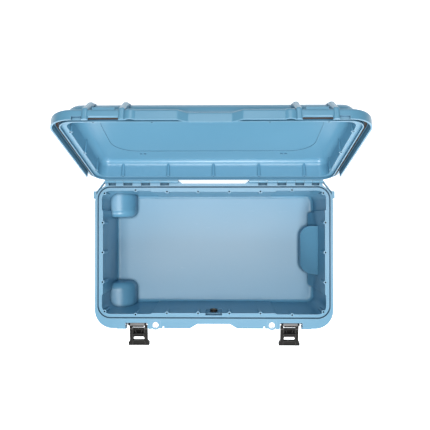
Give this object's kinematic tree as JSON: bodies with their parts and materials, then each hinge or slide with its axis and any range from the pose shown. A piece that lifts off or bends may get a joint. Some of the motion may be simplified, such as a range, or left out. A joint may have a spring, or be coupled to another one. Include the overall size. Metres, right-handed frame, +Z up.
{
  "type": "rolling hard case",
  "caption": "Open rolling hard case: moulded base and hinged gasketed lid, draw latches, padlock eyes, carry handle, telescoping pull handle and wheels.",
  "frame": {"origin": "on the ground, on the underside of the tray cover, under the middle of the case's opening", "axes": "+X along the case from the wheel end to the pull-handle end, -Y towards the latches, +Z up"},
  "size_m": [0.56, 0.5112, 0.5248],
  "materials": {
    "shell": "fine grained",
    "gasket": "matt",
    "black_plastic": "fine grained",
    "soft_rubber": "matt",
    "tyre": "matt",
    "steel": "satin",
    "tube_metal": "anodised",
    "vent_brass": "satin"
  },
  "bodies": {
    "case": {"base_shell": "shell", "base_underframe": "shell", "padlock_lug_left": "shell", "padlock_lug_right": "shell", "hinge_pin_left": "steel", "hinge_pin_right": "steel", "latch_pin_left": "steel", "latch_pin_right": "steel", "padlock_eye_left": "steel", "padlock_eye_right": "steel", "carry_handle_pins": "steel", "outer_tube_front": "tube_metal", "outer_tube_back": "tube_metal", "tube_guide_front": "black_plastic", "tube_guide_back": "black_plastic", "tube_foot_front": "black_plastic", "tube_foot_back": "black_plastic", "tray_cover": "black_plastic", "cover_screws": "steel", "wheel_axle_front": "steel", "wheel_axle_back": "steel", "valve_body": "black_plastic", "valve_nut": "black_plastic", "valve_seal": "soft_rubber", "valve_vent": "vent_brass"},
    "lid": {"lid_shell": "shell", "lid_gasket": "gasket"},
    "carry_handle": {"carry_handle_frame": "black_plastic", "carry_handle_grip": "soft_rubber"},
    "pull_middle": {"middle_tube_front": "tube_metal", "middle_tube_back": "tube_metal"},
    "pull_handle": {"inner_tube_front": "tube_metal", "inner_tube_back": "tube_metal", "pull_grip": "black_plastic"},
    "pull_release": {"pull_button": "black_plastic"},
    "latch_left": {"latch_lever_left": "black_plastic", "latch_claw_pin_left": "steel"},
    "claw_left": {"latch_claw_left": "black_plastic"},
    "lock_left": {"latch_lock_left": "black_plastic"},
    "latch_right": {"latch_lever_right": "black_plastic", "latch_claw_pin_right": "steel"},
    "claw_right": {"latch_claw_right": "black_plastic"},
    "lock_right": {"latch_lock_right": "black_plastic"},
    "wheel_front": {"wheel_tyre_front": "tyre", "wheel_hub_front": "black_plastic", "wheel_bearings_front": "steel"},
    "wheel_back": {"wheel_tyre_back": "tyre", "wheel_hub_back": "black_plastic", "wheel_bearings_back": "steel"}
  },
  "joints": [
    {"name": "lid_hinge", "type": "hinge", "parent": "case", "child": "lid", "pos_m": [0, 0.167, 0.183], "axis": [-1, 0, 0], "range_deg": [-105, 0]},
    {"name": "carry_handle_swing", "type": "hinge", "parent": "case", "child": "carry_handle", "pos_m": [0, -0.157, 0.148], "axis": [-1, 0, 0], "range_deg": [0, 95]},
    {"name": "pull_slide", "type": "slide", "parent": "case", "child": "pull_handle", "axis": [1, 0, 0], "range_m": [0, 0.44]},
    {"name": "pull_middle_slide", "type": "slide", "parent": "case", "child": "pull_middle", "axis": [1, 0, 0], "range_m": [0, 0.22]},
    {"name": "pull_button_press", "type": "slide", "parent": "pull_handle", "child": "pull_release", "axis": [-1, 0, 0], "range_m": [0, 0.004], "stiffness_N_per_m": 400, "springref_m": -0.002},
    {"name": "latch_left_swing", "type": "hinge", "parent": "case", "child": "latch_left", "pos_m": [-0.1794, -0.1695, 0.1655], "axis": [1, 0, 0], "range_deg": [-100, 0]},
    {"name": "claw_left_swing", "type": "hinge", "parent": "latch_left", "child": "claw_left", "pos_m": [-0.1794, -0.18381, 0.14876], "axis": [1, 0, 0], "range_deg": [0, 25], "stiffness_Nm_per_rad": 0.02, "springref_deg": -17.19},
    {"name": "lock_left_slide", "type": "slide", "parent": "latch_left", "child": "lock_left", "axis": [-1, 0, 0], "range_m": [0, 0.005]},
    {"name": "latch_right_swing", "type": "hinge", "parent": "case", "child": "latch_right", "pos_m": [0.1794, -0.1695, 0.1655], "axis": [1, 0, 0], "range_deg": [-100, 0]},
    {"name": "claw_right_swing", "type": "hinge", "parent": "latch_right", "child": "claw_right", "pos_m": [0.1794, -0.18381, 0.14876], "axis": [1, 0, 0], "range_deg": [0, 25], "stiffness_Nm_per_rad": 0.02, "springref_deg": -17.19},
    {"name": "lock_right_slide", "type": "slide", "parent": "latch_right", "child": "lock_right", "axis": [1, 0, 0], "range_m": [0, 0.005]},
    {"name": "wheel_front_spin", "type": "hinge", "parent": "case", "child": "wheel_front", "pos_m": [-0.243, -0.11, 0.06], "axis": [0, 1, 0], "continuous": true},
    {"name": "wheel_back_spin", "type": "hinge", "parent": "case", "child": "wheel_back", "pos_m": [-0.243, 0.11, 0.06], "axis": [0, 1, 0], "continuous": true}
  ],
  "couplings": [
    {"joint": "pull_middle_slide", "follows": "pull_slide", "ratio": 0.5}
  ]
}
